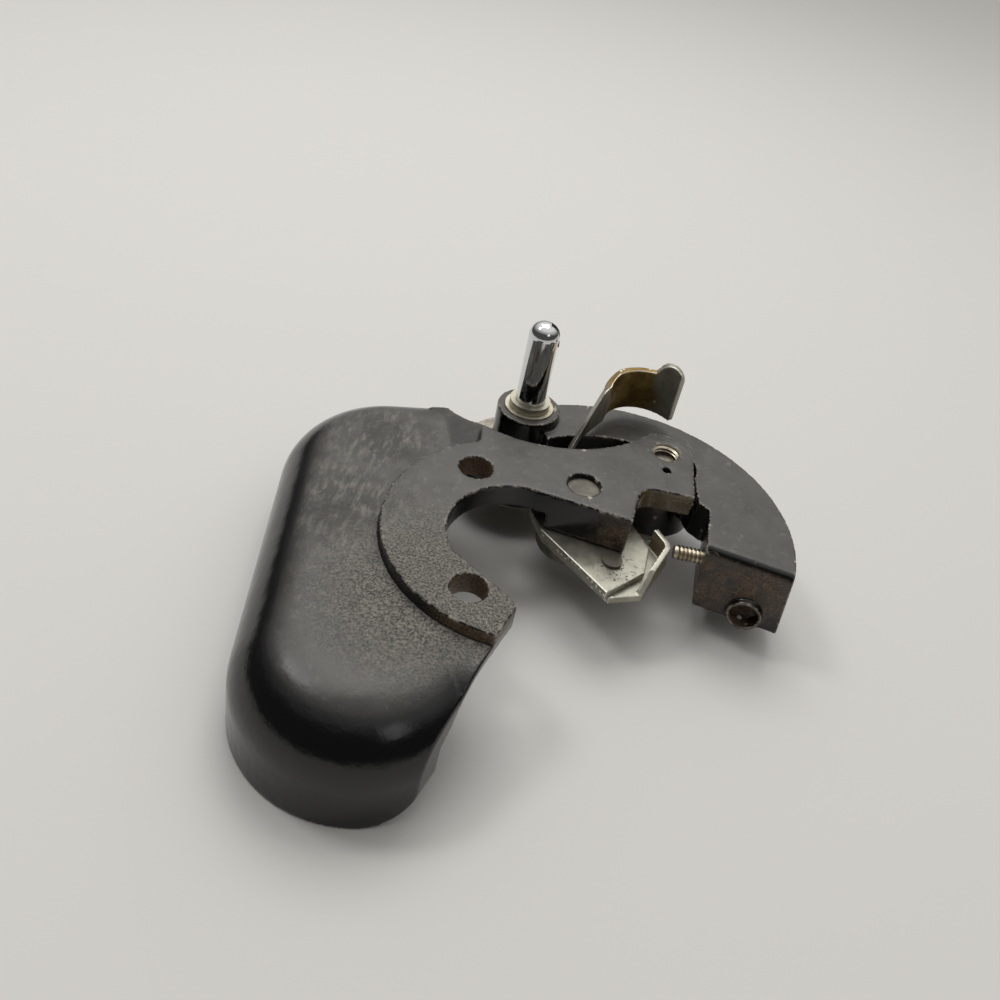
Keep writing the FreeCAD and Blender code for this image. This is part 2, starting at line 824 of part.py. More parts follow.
def chamfered(block, ends, level, breadth):
    """Break one level edge of a block, named by its two ends in plan."""
    middle = flat(((ends[0][0] + ends[1][0]) / 2, (ends[0][1] + ends[1][1]) / 2), level)
    picked = [edge for edge in block.Edges if (edge.CenterOfMass - middle).Length < 1e-3]
    return block.makeFillet(breadth, picked)


def tip_sweep(plan, gap, low, high):
    """The room that the guard's plate needs in the frame's recess, over the frame's swing."""
    grown = plan.makeOffset2D(gap)
    room = []
    corner = flat((size("tip_right") + gap, size("notch_far") - gap))
    corners = []
    for turn in (0.0, size("frame_swing")):
        piece = slab(grown, low, high)
        piece.rotate(flat(PIVOT), Vector(0, 0, 1), turn)
        room.append(piece)
        swung = Placement(Vector(), Rotation(Vector(0, 0, 1), turn), flat(PIVOT)).multVec(corner)
        corners.append((swung.x, swung.y))
    room.append(slab(polygon(PIVOT, *corners), low, high))
    return room


def winder_frame():
    """The cast frame: crescent, spindle boss, pivot hub and end block."""
    top = -size("frame_top")
    under = -size("frame_under")
    outer = size("arm_outer")
    inner = size("arm_inner")
    hub_face = -size("hub_under")
    hub_top = -size("hub_top")
    spindle_at = (size("spindle_x"), size("spindle_y"))
    block_angle = -12.8
    block_far_angle = 16.0
    spindle_angle = angle_of(spindle_at, ARM_CENTRE)
    band = [
        arc(ARM_CENTRE, outer, block_far_angle, spindle_angle),
        line(polar(outer, spindle_angle, ARM_CENTRE), polar(inner, spindle_angle, ARM_CENTRE)),
        arc(ARM_CENTRE, inner, spindle_angle, block_far_angle),
        line(polar(inner, block_far_angle, ARM_CENTRE), polar(outer, block_far_angle, ARM_CENTRE)),
    ]
    crescent = slab(face(band), under, top)
    front = polar(outer, block_angle, ARM_CENTRE)
    far = polar(outer, block_far_angle, ARM_CENTRE)
    inner_near = (32.6, 8.8)
    inner_far = (33.5, 19.8)
    along = Vector(front[0] - inner_near[0], front[1] - inner_near[1], 0).normalize()
    outwards = Vector(along.y, -along.x, 0)
    block_plan = chain(far, inner_far, inner_near, front)
    block_plan.append(arc(ARM_CENTRE, outer, block_angle, block_far_angle))
    upper = Part.Wire(block_plan)
    upper.translate(Vector(0, 0, top))
    lower = Part.Wire(block_plan)
    lower.translate(along * size("block_lean") + Vector(0, 0, -size("block_under")))
    block = Part.makeLoft([lower, upper], True, True)
    block = chamfered(block, (inner_near, front), top, size("block_chamfer"))
    shoulder = polygon(
        inner_far, far, polar(outer, 40.0, ARM_CENTRE), (30.2, 33.0), (30.2, 24.0), (31.2, 21.6)
    )
    shoulder = slab(shoulder, under, top)
    boss_under = -size("spindle_boss_under")
    boss_top = -size("spindle_boss_top")
    boss = post(spindle_at, size("spindle_boss_radius"), boss_under, boss_top)
    hub = post(PIVOT, size("hub_radius"), hub_face, hub_top)
    collar_at = flat(inner_near, -size("collar_depth")) + along * 10.8
    proud = size("collar_proud")
    collar = Part.makeCone(
        size("collar_radius") + 0.4, size("collar_radius"), proud + 1.0, collar_at - outwards, outwards
    )
    body = crescent.fuse([block, shoulder, boss, hub, collar])
    depth = size("blind_depth")
    mouth = collar_at + outwards * proud
    hole = Part.makeCylinder(size("blind_radius"), depth + 1, mouth - outwards * depth, outwards)
    drill_point = Part.makeCone(0, size("blind_radius"), 1.2, mouth - outwards * (depth + 1.2), outwards)
    body = body.cut([hole, drill_point])
    for piece in tip_sweep(plate_plan(), size("tip_gap"), hub_top, 2):
        body = body.cut(piece)
    body = body.cut(post(PIVOT, size("counterbore_radius"), -size("hub_floor"), 2))
    body = body.cut(post(PIVOT, size("hub_bore"), hub_face - 1, 2))
    body = body.cut(post(spindle_at, size("bush_bore"), hub_face - 1, 2))
    tip = Vector(size("stop_screw_tip"), size("stop_screw_y"), -size("stop_screw_depth"))
    tapped = Part.makeCylinder(size("stop_screw_hole"), size("stop_screw_length") + 1, tip, Vector(1, 0, 0))
    return finished("winder_frame", body.cut(tapped))


def finger_lever():
    """The upper lever: a flat leaf with the tall curved feeler finger rising from its far end."""
    leaf_top = size("leaf_face")
    leaf_under = size("cam_face")
    leaf_plan = polygon(
        (15.8, -2.6), (22.6, 4.6), (23.4, 11.6), (19.5, 18.0), (12.0, 24.0), (8.4, 30.4),
        (6.9, 32.8), (5.2, 30.2), (0.2, 15.5), (2.8, 10.3),
    )
    leaf = slab(leaf_plan, leaf_under, leaf_top)
    half = size("finger_thick") / 2
    bend = (10.6, 38.5)
    foot = (5.2, 30.2)
    run = Vector(bend[0] - foot[0], bend[1] - foot[1], 0).normalize()
    across = Vector(-run.y, run.x, 0) * half
    corners = (flat(foot) + across, flat(foot) - across, flat(bend) - across, flat(bend) + across)
    strip = polygon(*[(corner.x, corner.y) for corner in corners])
    centre = (18.9, 37.6)
    radius = size("finger_radius")
    start = angle_of(bend, centre)
    end = 42.0
    band = face([
        arc(centre, radius + half, start, end),
        line(polar(radius + half, end, centre), polar(radius - half, end, centre)),
        arc(centre, radius - half, end, start),
        line(polar(radius - half, start, centre), polar(radius + half, start, centre)),
    ])
    low, high = leaf_under, size("spindle_tip")
    standing = slab(strip, low, high).fuse([slab(band, low, high), post(bend, half, low, high)])
    side = [(5.0, leaf_under), (5.0, -4.8), (10.0, 7.2), (12.5, 8.6), (20.0, 8.6), (20.4, 9.4)]
    lobe_centre, lobe_radius = (23.0, 8.7), 2.6
    lobe_start = polar(lobe_radius, 165.0, lobe_centre)
    lobe_end = polar(lobe_radius, 0.0, lobe_centre)
    under_side = [(lobe_end[0], -0.4), (12.0, -0.4), (7.5, -1.8), (6.7, -3.4), (6.7, leaf_under)]

    def upright(point):
        return Vector(point[0], 20, point[1])

    points = side + [lobe_start]
    edges = [Part.LineSegment(upright(a), upright(b)).toShape() for a, b in zip(points, points[1:])]
    top = polar(lobe_radius, 82.0, lobe_centre)
    edges.append(Part.Arc(upright(lobe_start), upright(top), upright(lobe_end)).toShape())
    points = [lobe_end] + under_side + [side[0]]
    edges += [Part.LineSegment(upright(a), upright(b)).toShape() for a, b in zip(points, points[1:])]
    profile = Part.Face(Part.Wire(edges)).extrude(Vector(0, 40, 0))
    body = leaf.fuse(standing.common(profile))
    body = body.cut(post(LATCH, size("lever_bore"), leaf_under - 1, leaf_top + 1))
    body = body.cut(post(RIVET, size("rivet_hole"), leaf_under - 1, leaf_top + 1))
    return finished("finger_lever", body)


def cam_lever():
    """The lower lever, with the upturned flange whose nose the stop screw rests against."""
    top = size("cam_face")
    under = size("cam_under")
    flange_top = -size("flange_top")
    root = (22.6, 0.1)
    nose = (27.1, 10.6)
    end = (24.4, 14.6)
    leaf_plan = polygon(
        (16.6, -2.2), root, nose, end, (19.0, 19.0), (12.0, 23.4), (3.2, 21.0), (0.8, 15.5), (3.4, 10.4),
    )
    leaf = slab(leaf_plan, under, top)
    flange = slab(flange_plan(root, nose, end), under, flange_top)
    above = 0.0
    slope = [
        (root[1] - 3, above), (root[1] - 3, top - 0.1), (root[1], top - 0.1),
        (3.8, -6.6), (nose[1] - 0.8, flange_top), (nose[1] - 0.8, above),
    ]
    corners = [Vector(0, y, z) for y, z in slope]
    edges = [Part.LineSegment(a, b).toShape() for a, b in zip(corners, corners[1:] + corners[:1])]
    flange = flange.cut(Part.Face(Part.Wire(edges)).extrude(Vector(60, 0, 0)))
    body = leaf.fuse(flange)
    body = body.cut(post(LATCH, size("lever_bore"), under - 1, top + 1))
    body = body.cut(post(RIVET, size("rivet_hole"), under - 1, top + 1))
    return finished("cam_lever", body)


def flange_plan(root, nose, end):
    """The flange seen from above: two straight runs that bend round at the nose."""
    bend = size("flange_bend")
    inwards = angle_of(end, nose)
    first_way = angle_of(nose, root)
    turn = math.radians(inwards - first_way)
    back = bend * math.tan(turn / 2)
    start = polar(-back, first_way, nose)
    centre = polar(bend, first_way + 90.0, start)
    outer, inner = bend, bend - size("flange_thick")
    aside = size("flange_thick")
    root_inner = polar(aside, first_way + 90.0, root)
    end_inner = polar(aside, inwards + 90.0, end)
    first, last = first_way - 90.0, inwards - 90.0
    edges = [
        line(root, polar(outer, first, centre)),
        arc(centre, outer, first, last),
        line(polar(outer, last, centre), end),
        line(end, end_inner),
        line(end_inner, polar(inner, last, centre)),
        arc(centre, inner, last, first),
        line(polar(inner, first, centre), root_inner),
        line(root_inner, root),
    ]
    return face(edges)


def return_spring():
    """The torsion spring round the pivot: one leg up into the guard, one along the frame."""
    radius = size("spring_radius")
    wire = size("wire_radius")
    turns = 2.5
    pitch = size("spring_pitch")
    top = -size("plate_under") - wire - 0.5
    start = -90.0
    count = round(turns * 4)

    def point(step):
        angle = start + 90.0 * step
        place = polar(radius, angle, PIVOT)
        return Vector(place[0], place[1], top - pitch * step / 4)

    def heading(step):
        angle = math.radians(start + 90.0 * step)
        rise = -pitch / (2 * math.pi * radius)
        return Vector(-math.sin(angle), math.cos(angle), rise).normalize()

    edges = []
    for step in range(count):
        edges += biarc(point(step), heading(step), point(step + 1), heading(step + 1))
    path = Part.Wire(edges)
    ring = Part.Wire(Part.makeCircle(wire, point(0), heading(0)))
    coil = path.makePipeShell([ring], True, False)
    leg_top = -size("plate_under") + 2.5
    leg = Part.makeCylinder(wire, leg_top - top, point(0), Vector(0, 0, 1))
    knee = Part.makeSphere(wire, point(0))
    body = coil.fuse([knee, leg])
    print("least gap between the spring's turns", round(pitch - 2 * wire, 3))
    return finished("return_spring", body)


def biarc(start, start_way, end, end_way):
    """Two arcs that leave one point along its heading and reach the other along its own."""
    span = end - start
    turn = start_way.dot(end_way)
    both = span.dot(start_way + end_way)
    reach = (-both + math.sqrt(both**2 + 2 * (1 - turn) * span.dot(span))) / (2 * (1 - turn))
    first = start + start_way * reach
    second = end - end_way * reach
    middle = (first + second) * 0.5
    way = (second - first).normalize()
    edges = []
    for a, a_way, corner, b in ((start, start_way, first, middle), (middle, way, second, end)):
        chord = (a + b) * 0.5
        half_turn = (corner - a).getAngle(b - corner) / 2
        radius = reach / math.tan(half_turn)
        to_corner = (corner - chord).normalize()
        bulge = chord + to_corner * radius * (1 - math.cos(half_turn))
        edges.append(Part.Arc(a, bulge, b).toShape())
    return edges


guard_bracket()
winder_frame()
finger_lever()
cam_lever()
return_spring()

doc.recompute()
for item in doc.Objects:
    if any(word in item.State for word in ("Invalid", "Error")):
        raise RuntimeError(item.Label + " failed")
pieces = [item for item in doc.Objects if item.TypeId in ("PartDesign::Body", "Part::Feature")]
for piece in pieces:
    if piece.Shape.isNull() or not piece.Shape.isValid() or len(piece.Shape.Solids) != 1:
        raise RuntimeError(piece.Label + " is not one valid solid")
for piece in pieces:
    print(piece.Label, round(piece.Shape.Volume, 1))
    piece.Shape.exportStep(f"parts/{piece.Label}.step")
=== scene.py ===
# The look of the bobbin winder and its belt guard: cast iron under worn black stove enamel, with
# chromed, nickelled and bare steel pieces, lying on a plain pale floor.
import math

import bmesh
import bpy
from mathutils import Matrix, Vector


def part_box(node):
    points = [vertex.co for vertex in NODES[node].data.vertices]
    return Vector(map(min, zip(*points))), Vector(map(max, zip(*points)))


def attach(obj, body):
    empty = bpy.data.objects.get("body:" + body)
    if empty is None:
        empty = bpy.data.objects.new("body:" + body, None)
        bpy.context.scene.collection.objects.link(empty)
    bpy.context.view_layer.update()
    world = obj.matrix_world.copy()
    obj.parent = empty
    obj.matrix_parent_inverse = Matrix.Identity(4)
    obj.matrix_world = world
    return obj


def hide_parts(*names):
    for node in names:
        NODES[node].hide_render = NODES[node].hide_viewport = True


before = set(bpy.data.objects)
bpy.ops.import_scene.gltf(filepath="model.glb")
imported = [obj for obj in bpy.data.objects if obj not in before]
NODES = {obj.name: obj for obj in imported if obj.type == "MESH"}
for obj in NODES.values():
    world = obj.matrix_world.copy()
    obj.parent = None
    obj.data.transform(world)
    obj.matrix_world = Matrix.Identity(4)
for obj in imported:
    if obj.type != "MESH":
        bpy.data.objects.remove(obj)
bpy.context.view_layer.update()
MM = 0.001


def deselect():
    """Leave nothing selected, so that an operator acts on the new piece alone."""
    for thing in bpy.context.selected_objects:
        thing.select_set(False)


def mm(x, y, z):
    """A point given in millimetres."""
    return Vector((x, y, z)) * MM


# Camera and floor, in millimetres and degrees

CAMERA_AT = mm(-5.8, -124.0, 108.85)
CAMERA_TILT = -39.878
CAMERA_ROLL = 11.958
CAMERA_LENS = 34.56
CAMERA_SENSOR = 36
CAMERA_NEAR = 5
FLOOR_LEVEL = -23.0
FLOOR_SIZE = 3000.0


def camera():
    """A camera at the photograph's viewing angle."""
    eye = bpy.data.cameras.new("camera")
    eye.lens = CAMERA_LENS
    eye.sensor_width = CAMERA_SENSOR
    eye.clip_start = CAMERA_NEAR * MM
    thing = bpy.data.objects.new("camera", eye)
    bpy.context.scene.collection.objects.link(thing)
    pitch = Matrix.Rotation(math.radians(90 + CAMERA_TILT), 4, "X")
    roll = Matrix.Rotation(math.radians(CAMERA_ROLL), 4, "Z")
    thing.matrix_world = Matrix.Translation(CAMERA_AT) @ pitch @ roll
    bpy.context.scene.camera = thing


def lamp(name, at, size, power):
    """A square soft white lamp that faces the object. Its place and size are in metres."""
    light = bpy.data.lights.new(name, "AREA")
    light.size = size
    light.energy = power
    thing = bpy.data.objects.new(name, light)
    bpy.context.scene.collection.objects.link(thing)
    thing.location = at
    thing.rotation_euler = (-thing.location).to_track_quat("-Z", "Y").to_euler()


# Materials

def linear(colour):
    """An sRGB hex colour as linear numbers."""
    parts = [int(colour[i : i + 2], 16) / 255 for i in (1, 3, 5)]
    return [p / 12.92 if p <= 0.04045 else ((p + 0.055) / 1.055) ** 2.4 for p in parts]


def feed(tree, socket, given):
    """Lead a node or an output into a socket, or set the socket. A hex colour is set linear."""
    if isinstance(given, bpy.types.Node):
        given = [output for output in given.outputs if output.enabled][0]
    if isinstance(given, bpy.types.NodeSocket):
        tree.links.new(given, socket)
    else:
        socket.default_value = (*linear(given), 1.0) if isinstance(given, str) else given


def node(tree, kind, *feeds, **given):
    """Add a node. Plain feeds go to its open sockets in order, capitalised names to the sockets
    they name, and other names to its settings."""
    made = tree.nodes.new("ShaderNode" + kind)
    named = [key for key in given if key[0].isupper()]
    for key in given:
        if key not in named:
            setattr(made, key, given[key])
    open_sockets = [socket for socket in made.inputs if socket.enabled]
    for socket, value in zip(open_sockets, feeds):
        feed(tree, socket, value)
    finish_with(tree, made, **{key: given[key] for key in named})
    return made


def finish_with(tree, shader, **sockets):
    """Lead patterns into the sockets they are named for, or set those sockets."""
    for name, pattern in sockets.items():
        feed(tree, shader.inputs[name.replace("_", " ")], pattern)


def material(name):
    """An empty material: its tree, its shader and its position in millimetres on the object."""
    made = bpy.data.materials.new(name)
    made.use_nodes = True
    tree = made.node_tree
    place = node(tree, "TexCoord").outputs["Object"]
    place = node(tree, "VectorMath", place, 1 / MM, operation="SCALE")
    return made, tree, tree.nodes["Principled BSDF"], place


def floor_cloth():
    """Pale matt backdrop, plain."""
    made, tree, shader, _ = material("pale_floor")
    finish_with(tree, shader, Base_Color="#cfcdc9", Roughness=0.9)
    return made


# Where the photograph shows marks on the castings: a centre in millimetres, how far out the mark is
# whole, and how far out it has faded away. Marks on the top are placed in plan alone.
TAPPED_HOLE = (24.4, 31.3)
TOP_MARKS = {
    "sandy_front": ((-14.0, -17.0, 0.0), 7.0, 23.0),
    "sandy_boss": ((-1.0, -20.0, 0.0), 6.0, 14.0),
    "streaked_left": ((-33.0, -1.0, 0.0), 5.0, 18.0),
    "streaked_far": ((-30.0, 20.0, 0.0), 4.0, 15.0),
    "far_hole": ((-11.3, 14.1, 0.0), 3.35, 3.6),
    "near_hole": ((-7.7, -16.4, 0.0), 3.35, 3.6),
    "tapped_hole": ((*TAPPED_HOLE, 0.0), 2.85, 3.0),
}
DEEP_MARKS = {
    "groove": ((-6.0, -22.5, -1.6), 3.5, 8.0),
    "notch": ((25.0, 18.7, -2.6), 5.0, 7.5),
    "pillar": ((16.5, 8.5, -5.5), 2.5, 6.5),
    "block_left": ((34.0, 9.5, -11.0), 4.0, 9.5),
    "block_front": ((43.0, 6.0, -9.5), 4.0, 9.0),
    "blind_hole": ((42.8, 6.5, -14.8), 2.5, 3.2),
}
# Where it shows marks on the latch, in the same way
LATCH_MARKS = {
    # the hollow face's olive gold, darkened with painted shade
    "gold_and_shade_head": ((14.0, 45.0, 4.5), 6.5, 9.5),
    "lobe": ((24.5, 43.5, 8.0), 4.0, 6.0),
    "rivet": ((17.5, 3.6, -8.3), 2.0, 5.5),
    "flange": ((26.0, 8.5, -8.0), 5.0, 7.0),
}


def marked(tree, place, marks):
    """How far each mark shows at a place, from none to whole."""
    shown = {}
    for name, (centre, whole, faded) in marks.items():
        away = node(tree, "VectorMath", place, centre, operation="DISTANCE")
        shown[name] = node(tree, "MapRange", away, faded, whole)
    return shown


# Sizes of the enamel's patterns in millimetres. Foundry sand is finer, and its grain is drawn
# coarser here so that it shows in the render.
SAND = 0.42
FINE_SAND = 0.25
DRIFT = 6.0
RUB = 1.6
STREAK = 1.1
CHIP = 2.6
CASTING_WAVE = 5.0
CASTING_RELIEF = 0.36


def stove_enamel():
    """Black stove enamel on sand-cast iron, baked: a mirror-like black on the smooth skirt, a grey on
    the rubbed flat faces lightened with a painted sheen, the sand's grain on the boss, and brown iron
    in holes and chips."""
    made, tree, shader, place = material("stove_enamel_on_cast_iron")
    plan = node(tree, "VectorMath", place, (1.0, 1.0, 0.0), operation="MULTIPLY")
    mark = {**marked(tree, plan, TOP_MARKS), **marked(tree, place, DEEP_MARKS)}
    geometry = node(tree, "NewGeometry")
    up = node(tree, "SeparateXYZ", geometry.outputs["Normal"]).outputs["Z"]
    level = node(tree, "MapRange", up, 0.86, 0.985)
    steep = node(tree, "MapRange", up, 0.6, 0.2)
    sand = node(tree, "TexNoise", Vector=place, Scale=1 / SAND, Detail=4.0, Roughness=0.7)
    fine = node(tree, "TexNoise", Vector=place, Scale=1 / FINE_SAND, Detail=2.0, Roughness=0.6)
    drift = node(
        tree, "TexNoise", Vector=place, Scale=1 / DRIFT, Detail=4.0, Roughness=0.6, Distortion=0.3
    )
    rubs = node(
        tree, "TexNoise", Vector=place, Scale=1 / RUB, Detail=5.0, Roughness=0.7, Distortion=0.6
    )
    drawn = node(tree, "VectorMath", place, (1.0, 0.3, 1.0), operation="MULTIPLY")
    streaks = node(
        tree, "TexNoise", Vector=drawn, Scale=1 / STREAK, Detail=5.0, Roughness=0.72, Distortion=0.2
    )
    # the sand's grain, and the pale streaks rubbed on the left
    sandy = node(tree, "Math", mark["sandy_front"], mark["sandy_boss"], operation="MAXIMUM")
    sandy = node(tree, "Math", sandy, level, operation="MULTIPLY")
    streaked = node(tree, "Math", mark["streaked_left"], mark["streaked_far"], operation="MAXIMUM")
    streaked = node(tree, "Math", streaked, level, operation="MULTIPLY")
    # painted sheen: the flat upward faces get a lighter grey than the skirt, partly the rubbed
    # enamel's own grey and partly a painted sheen of the bright room above
    share = node(tree, "MapRange", drift, 0.35, 0.65)
    rubbed_grey_and_sheen = node(tree, "Mix", share, "#3a3834", "#4b4843", data_type="RGBA")
    coat = node(tree, "Mix", level, "#0b0b0c", rubbed_grey_and_sheen, data_type="RGBA")
    share = node(tree, "MapRange", sand, 0.4, 0.6)
    grains = node(tree, "Mix", share, "#1d1c1a", "#918c81", data_type="RGBA")
    share = node(tree, "MapRange", rubs, 0.3, 0.65, 0.45, 1.0)
    share = node(tree, "Math", sandy, share, operation="MULTIPLY")
    coat = node(tree, "Mix", share, coat, grains, data_type="RGBA")
    share = node(tree, "MapRange", streaks, 0.46, 0.66, 0.0, 0.75)
    patchy = node(tree, "MapRange", drift, 0.36, 0.56)
    share = node(tree, "Math", share, patchy, operation="MULTIPLY")
    share = node(tree, "Math", streaked, share, operation="MULTIPLY")
    coat = node(tree, "Mix", share, coat, "#8b877f", data_type="RGBA")
    # rubs on the flat faces, and pale specks everywhere
    share = node(tree, "MapRange", rubs, 0.56, 0.72, 0.0, 0.4)
    share = node(tree, "Math", level, share, operation="MULTIPLY")
    coat = node(tree, "Mix", share, coat, "#77726a", data_type="RGBA")
    share = node(tree, "MapRange", rubs, 0.5, 0.65)
    specks = node(tree, "MapRange", fine, 0.76, 0.8)
    share = node(tree, "Math", specks, share, operation="MULTIPLY")
    coat = node(tree, "Mix", share, coat, "#8d887c", data_type="RGBA")
    # bare brown iron in holes and chips, and olive in the notch
    chips = node(
        tree, "TexNoise", Vector=place, Scale=1 / CHIP, Detail=5.0, Roughness=0.6, Distortion=0.5
    )
    chipped = node(tree, "MapRange", chips, 0.34, 0.6, 0.1, 1.0)
    bare = node(tree, "Math", mark["far_hole"], mark["near_hole"], operation="MAXIMUM")
    for name in ("pillar", "block_left", "block_front"):
        brown_spot = node(tree, "Math", mark[name], chipped, operation="MULTIPLY")
        bare = node(tree, "Math", bare, brown_spot, operation="MAXIMUM")
    at = node(tree, "SeparateXYZ", place)
    groove_top = node(tree, "MapRange", at.outputs["Z"], -2.7, -2.3)
    groove = node(tree, "Math", mark["groove"], groove_top, operation="MULTIPLY")
    bare = node(tree, "Math", bare, groove, operation="MAXIMUM")
    bare = node(tree, "Math", bare, steep, operation="MULTIPLY")
    bare = node(tree, "Math", bare, mark["blind_hole"], operation="MAXIMUM")
    grit = node(tree, "MapRange", sand, 0.35, 0.65)
    brown = node(tree, "Mix", grit, "#3a2a1f", "#7a634d", data_type="RGBA")
    colour = node(tree, "Mix", bare, coat, brown, data_type="RGBA")
    olive = node(tree, "Mix", grit, "#584c3c", "#7a6c56", data_type="RGBA")
    share = node(tree, "Math", mark["notch"], steep, operation="MULTIPLY")
    colour = node(tree, "Mix", share, colour, olive, data_type="RGBA")
    # edges rubbed bright with a painted highlight on them, except low down on the cover, and the
    # bright ring of the tapped hole
    worn_and_highlit_edges = node(tree, "MapRange", rubs, 0.3, 0.7, -0.03, 0.03)
    worn_and_highlit_edges = node(tree, "Math", geometry.outputs["Pointiness"], worn_and_highlit_edges, operation="ADD")
    worn_and_highlit_edges = node(tree, "MapRange", worn_and_highlit_edges, 0.525, 0.57)
    facing_up = node(tree, "MapRange", up, -0.2, 0.2)
    raised = node(tree, "MapRange", at.outputs["Z"], -1.3, -0.9)
    past_cover = node(tree, "MapRange", at.outputs["X"], 0.5, 1.0)
    raised = node(tree, "Math", raised, past_cover, operation="MAXIMUM")
    share = node(tree, "Math", facing_up, raised, operation="MULTIPLY")
    share = node(tree, "Math", worn_and_highlit_edges, share, operation="MULTIPLY")
    # painted highlight: the pale edge colour is partly rubbed enamel and partly light caught on the
    # edges
    colour = node(tree, "Mix", share, colour, "#a39b8c", data_type="RGBA")
    share = node(tree, "Math", mark["tapped_hole"], facing_up, operation="MULTIPLY")
    colour = node(tree, "Mix", share, colour, "#958f82", data_type="RGBA")
    # glossy on the skirt, dull where the sand or the iron shows
    glossy = node(tree, "MapRange", drift, 0.3, 0.7, 0.1, 0.17)
    rubbed = node(tree, "MapRange", drift, 0.3, 0.7, 0.38, 0.48)
    rough = node(tree, "Mix", level, glossy, rubbed, data_type="FLOAT")
    shows = node(tree, "Math", sandy, bare, operation="MAXIMUM")
    dull = node(tree, "MapRange", sand, 0.3, 0.7, 0.1, 0.3)
    dull = node(tree, "Math", shows, dull, operation="MULTIPLY")
    rough = node(tree, "Math", rough, dull, operation="ADD")
    # the casting's skin: long waves everywhere, sand where it shows
    shows = node(tree, "Math", shows, streaked, operation="MAXIMUM")
    shows = node(tree, "MapRange", shows, 0.0, 1.0, 0.06, 1.0)
    skin = node(tree, "Math", sand, shows, operation="MULTIPLY")
    waves = node(tree, "TexNoise", Vector=place, Scale=1 / CASTING_WAVE, Detail=3.0, Roughness=0.6)
    skin = node(tree, "Math", waves, 0.4, skin, operation="MULTIPLY_ADD")
    relief = node(tree, "Bump", Height=skin, Distance=CASTING_RELIEF * MM, Strength=0.8)
    finish_with(tree, shader, Base_Color=colour, Roughness=rough, Normal=relief)
    return made


# The spindle's polishing lines to the millimetre, along it, coarser than real ones so that they
# show, and the size of its pits and the height of its matte shoulder's top, in millimetres
POLISHING_LINES = 6.0
CHROME_PIT = 0.5
SHOULDER_TOP = 1.4
WHEEL_RELIEF = 0.004


def chromium_plate():
    """Bright chromium over turned steel: a mirror, with the faint lines of the polishing wheel
    round it, a few dull pits, and a pale matte shoulder where bobbins have rubbed."""
    made, tree, shader, place = material("chromium_plate_on_steel")
    lines = node(tree, "VectorMath", place, (0.15, 0.15, POLISHING_LINES), operation="MULTIPLY")
    wheel = node(tree, "TexNoise", Vector=lines, Scale=1.0, Detail=3.0, Roughness=0.6)
    pits = node(tree, "TexNoise", Vector=place, Scale=1 / CHROME_PIT, Detail=3.0, Roughness=0.7)
    height = node(tree, "SeparateXYZ", place).outputs["Z"]
    matte = node(tree, "MapRange", height, SHOULDER_TOP, 1.1)
    pitted = node(tree, "MapRange", pits, 0.7, 0.76)
    colour = node(tree, "Mix", pitted, "#d9dbdc", "#8b8a85", data_type="RGBA")
    colour = node(tree, "Mix", matte, colour, "#b3ae9f", data_type="RGBA")
    rough = node(tree, "MapRange", wheel, 0.3, 0.7, 0.05, 0.11)
    rough = node(tree, "Math", matte, 0.35, rough, operation="MULTIPLY_ADD")
    relief = node(tree, "Bump", Height=wheel, Distance=WHEEL_RELIEF * MM, Strength=0.4)
    finish_with(tree, shader, Base_Color=colour, Metallic=1.0, Roughness=rough, Normal=relief)
    return made


# Sizes of the nickel's patterns in millimetres
CLOUD = 3.0
FRECKLE = 0.75
NICKEL_RELIEF = 0.014


